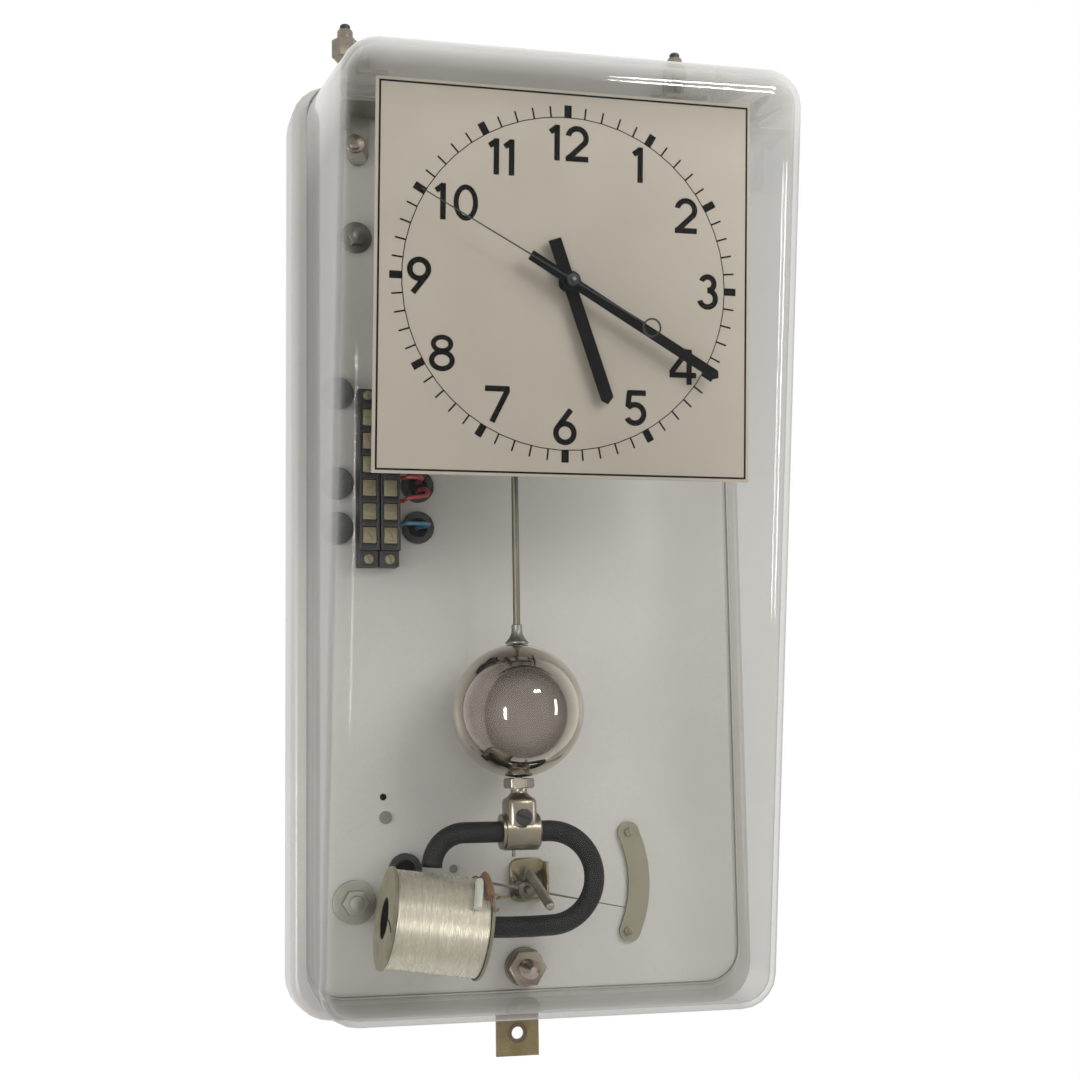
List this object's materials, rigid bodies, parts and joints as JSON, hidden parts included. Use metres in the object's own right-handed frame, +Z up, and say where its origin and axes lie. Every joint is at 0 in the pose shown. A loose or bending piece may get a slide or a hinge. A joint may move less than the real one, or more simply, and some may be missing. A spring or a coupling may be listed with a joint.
{
  "type": "electric master clock",
  "caption": "Wall-hung electric master clock: shallow tray, deep clear cover, square dial with a seconds hand, and a ball pendulum whose bent magnet swings through a fixed coil.",
  "frame": {"origin": "on the tray's flat back, where it meets the wall, level with the middle of the cover", "axes": "+X to the right seen from the front, +Y into the wall, +Z up"},
  "size_m": [0.258, 0.1696, 0.5711],
  "materials": {
    "white_enamel": "satin white stove enamel",
    "clear_acrylic": "clear moulded acrylic, glossy",
    "dial_cream": "matt cream lacquer",
    "hand_black": "matt charcoal",
    "nickel": "satin nickel plate",
    "polished_nickel": "mirror nickel plate",
    "steel": "plain steel",
    "brass": "turned brass",
    "dull_brass": "dull passivated",
    "black_plastic": "moulded black",
    "grey_rubber": "dark grey",
    "magnet_black": "matt black",
    "paxolin": "bonded paper board",
    "winding": "enamelled fine wire",
    "wire_red": "insulated wire",
    "wire_blue": "insulated wire",
    "pale_lead": "cotton covered lead",
    "ivory": "ivory scale"
  },
  "bodies": {
    "case": {"rear_tray": "white_enamel", "cover_screw_left": "nickel", "cover_screw_right": "nickel", "top_bracket_left": "steel", "top_bracket_right": "steel", "wall_tab": "dull_brass", "tab_bolt": "nickel", "tab_nut": "nickel", "upper_panel_nut": "steel", "lower_panel_nut": "steel", "cable_grommet_1": "grey_rubber", "cable_grommet_2": "grey_rubber", "cable_grommet_3": "grey_rubber", "wire_bush_upper": "grey_rubber", "wire_bush_lower": "grey_rubber", "lead_bush": "grey_rubber", "terminal_strip_left": "black_plastic", "terminal_strip_right": "black_plastic", "red_wire_upper": "wire_red", "red_wire_lower": "wire_red", "blue_wire": "wire_blue", "coil_lead": "pale_lead", "dial": "dial_cream", "movement_front_plate": "brass", "movement_back_plate": "brass", "movement_pillar_1": "steel", "movement_pillar_2": "steel", "movement_pillar_3": "steel", "movement_pillar_4": "steel", "suspension_cock": "nickel", "impulse_contact": "black_plastic", "coil_bobbin": "paxolin", "coil_core": "winding", "coil_winding": "winding", "coil_saddle": "steel", "regulator_bracket": "brass", "scale_plate": "ivory"},
    "cover": {"clear_cover": "clear_acrylic"},
    "pendulum": {"suspension_spring": "steel", "pendulum_top_block": "brass", "pendulum_rod": "steel", "pendulum_ball": "polished_nickel", "ball_neck": "nickel", "magnet_clamp": "nickel", "clamp_screw": "black_plastic", "magnet": "magnet_black"},
    "rating_nut": {"rating_nut": "nickel"},
    "drive_pawl": {"drive_pawl": "steel"},
    "holding_click": {"holding_click": "steel"},
    "regulator": {"regulator_needle": "steel", "regulator_handle": "nickel"},
    "seconds_train": {"seconds_arbor": "steel", "ratchet_wheel": "brass", "seconds_hand": "hand_black"},
    "intermediate_train": {"intermediate_wheel": "brass"},
    "minute_train": {"minute_wheel": "brass", "minute_hand": "hand_black"},
    "reduction_train": {"reduction_wheel": "brass"},
    "hour_train": {"hour_wheel": "brass", "hour_hand": "hand_black"}
  },
  "joints": [
    {"name": "cover_slide", "type": "slide", "parent": "case", "child": "cover", "axis": [0, -1, 0], "range_m": [0, 0.13]},
    {"name": "pendulum_swing", "type": "hinge", "parent": "case", "child": "pendulum", "pos_m": [-0.014, -0.069, 0.1216], "axis": [0, 1, 0], "range_deg": [-2.5, 2.5]},
    {"name": "rating_nut_turn", "type": "hinge", "parent": "pendulum", "child": "rating_nut", "pos_m": [-0.014, -0.069, -0.1363], "axis": [0, 0, 1], "continuous": true},
    {"name": "drive_pawl_lift", "type": "hinge", "parent": "pendulum", "child": "drive_pawl", "pos_m": [0.026, -0.12747, 0.10247], "axis": [0, 0.9954, 0.0958], "range_deg": [0, 20]},
    {"name": "holding_click_lift", "type": "hinge", "parent": "case", "child": "holding_click", "pos_m": [-0.017, -0.13188, 0.14826], "axis": [0, -0.9954, -0.0958], "range_deg": [0, 20]},
    {"name": "regulator_turn", "type": "hinge", "parent": "case", "child": "regulator", "pos_m": [-0.004, -0.042, -0.1932], "axis": [0, 1, 0], "range_deg": [-16, 16]},
    {"name": "seconds_turn", "type": "hinge", "parent": "case", "child": "seconds_train", "pos_m": [0, -0.129, 0.1184], "axis": [0, 0.9954, 0.0958], "continuous": true},
    {"name": "intermediate_turn", "type": "hinge", "parent": "case", "child": "intermediate_train", "pos_m": [0.01273, -0.12778, 0.10573], "axis": [0, 0.9954, 0.0958], "continuous": true},
    {"name": "minute_turn", "type": "hinge", "parent": "case", "child": "minute_train", "pos_m": [0, -0.129, 0.1184], "axis": [0, 0.9954, 0.0958], "continuous": true},
    {"name": "reduction_turn", "type": "hinge", "parent": "case", "child": "reduction_train", "pos_m": [-0.01061, -0.13002, 0.12896], "axis": [0, 0.9954, 0.0958], "continuous": true},
    {"name": "hour_turn", "type": "hinge", "parent": "case", "child": "hour_train", "pos_m": [0, -0.129, 0.1184], "axis": [0, 0.9954, 0.0958], "continuous": true}
  ],
  "couplings": [
    {"joint": "intermediate_turn", "follows": "seconds_turn", "ratio": -0.125},
    {"joint": "minute_turn", "follows": "seconds_turn", "ratio": 0.016667},
    {"joint": "reduction_turn", "follows": "seconds_turn", "ratio": -0.0055556},
    {"joint": "hour_turn", "follows": "seconds_turn", "ratio": 0.0013889}
  ]
}
